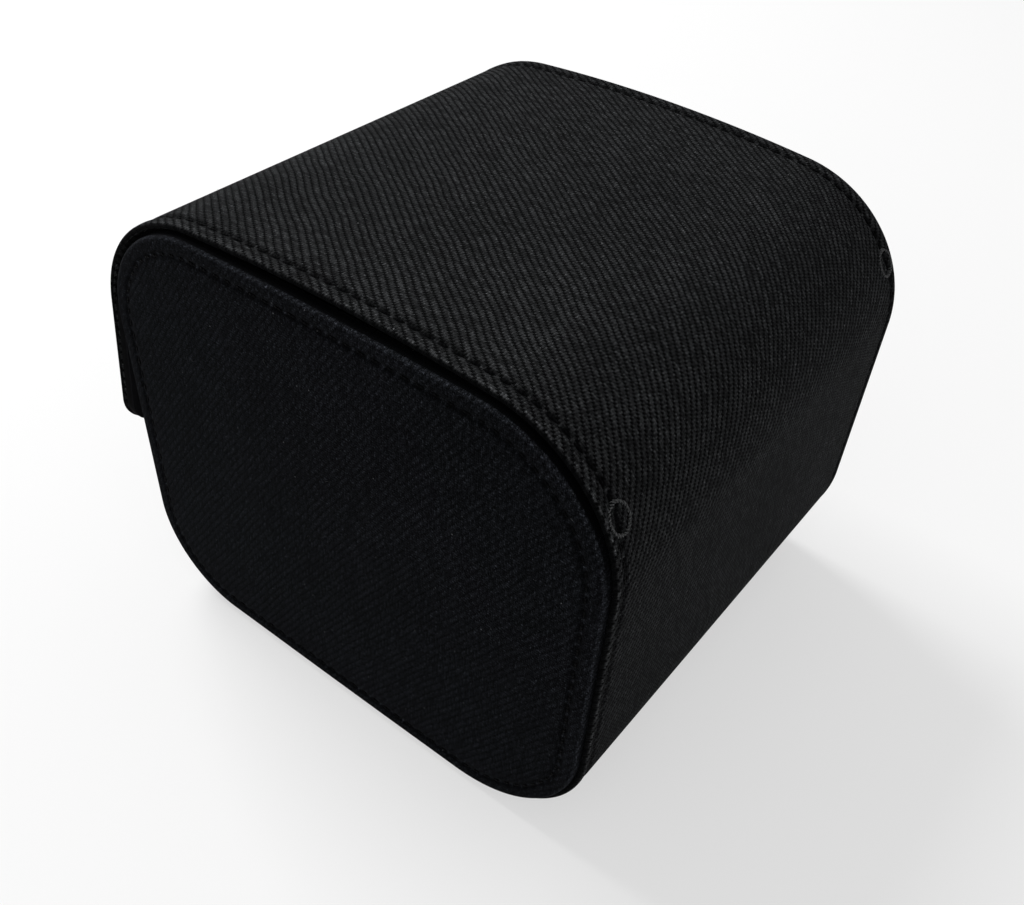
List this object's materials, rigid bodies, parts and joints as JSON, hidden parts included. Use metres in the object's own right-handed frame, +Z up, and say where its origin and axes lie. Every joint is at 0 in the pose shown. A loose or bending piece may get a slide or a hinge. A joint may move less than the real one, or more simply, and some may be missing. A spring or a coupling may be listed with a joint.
{
  "type": "watch travel case",
  "caption": "Cloth-covered box case for one watch, with two rounded end panels, a wrap-over lid that hinges at the back and a front tongue with a press stud, round a removable pillow.",
  "frame": {"origin": "middle of the flat bottom, on the surface that the case stands on", "axes": "+X along the case's width towards the right end panel, +Y towards the back where the lid hinges, +Z up; the tongue is on the -Y side"},
  "size_m": [0.0876, 0.1008, 0.0802],
  "materials": {
    "cloth": "black heavy ribbed twill, matt with a slight sheen on the ribs",
    "panel_cloth": "the same black twill, finer and darker, turned over a board",
    "suede": "charcoal micro-suede lining",
    "pillow_suede": "charcoal micro-suede, padded",
    "greyboard": "grey bookbinder's board",
    "foam": "soft open-cell foam",
    "thread": "black waxed sewing thread",
    "gunmetal": "dark gunmetal plating, satin"
  },
  "bodies": {
    "case": {"wrap_cover": "cloth", "wrap_board": "greyboard", "wrap_lining": "suede", "right_panel_cover": "panel_cloth", "right_panel_board": "greyboard", "right_panel_lining": "suede", "left_panel_cover": "panel_cloth", "left_panel_board": "greyboard", "left_panel_lining": "suede", "right_hinge_tack": "thread", "left_hinge_tack": "thread", "snap_stud": "gunmetal", "snap_rivet": "gunmetal", "pillow_sleeve": "pillow_suede", "pillow_core": "foam", "pillow_end_right": "pillow_suede", "pillow_end_left": "pillow_suede"},
    "lid": {"lid_cover": "cloth", "lid_board": "greyboard", "lid_lining": "suede"},
    "tongue": {"tongue_cover": "cloth", "tongue_board": "greyboard", "tongue_lining": "suede", "snap_cap": "gunmetal", "snap_socket": "gunmetal"}
  },
  "joints": [
    {"name": "lid_open", "type": "hinge", "parent": "case", "child": "lid", "pos_m": [0, 0.04308, 0.06921], "axis": [-1, 0, 0], "range_deg": [0, 105]},
    {"name": "tongue_flex", "type": "hinge", "parent": "lid", "child": "tongue", "pos_m": [0, -0.05054, 0.05758], "axis": [-1, 0, 0], "range_deg": [-5, 25], "stiffness_Nm_per_rad": 0.02}
  ]
}
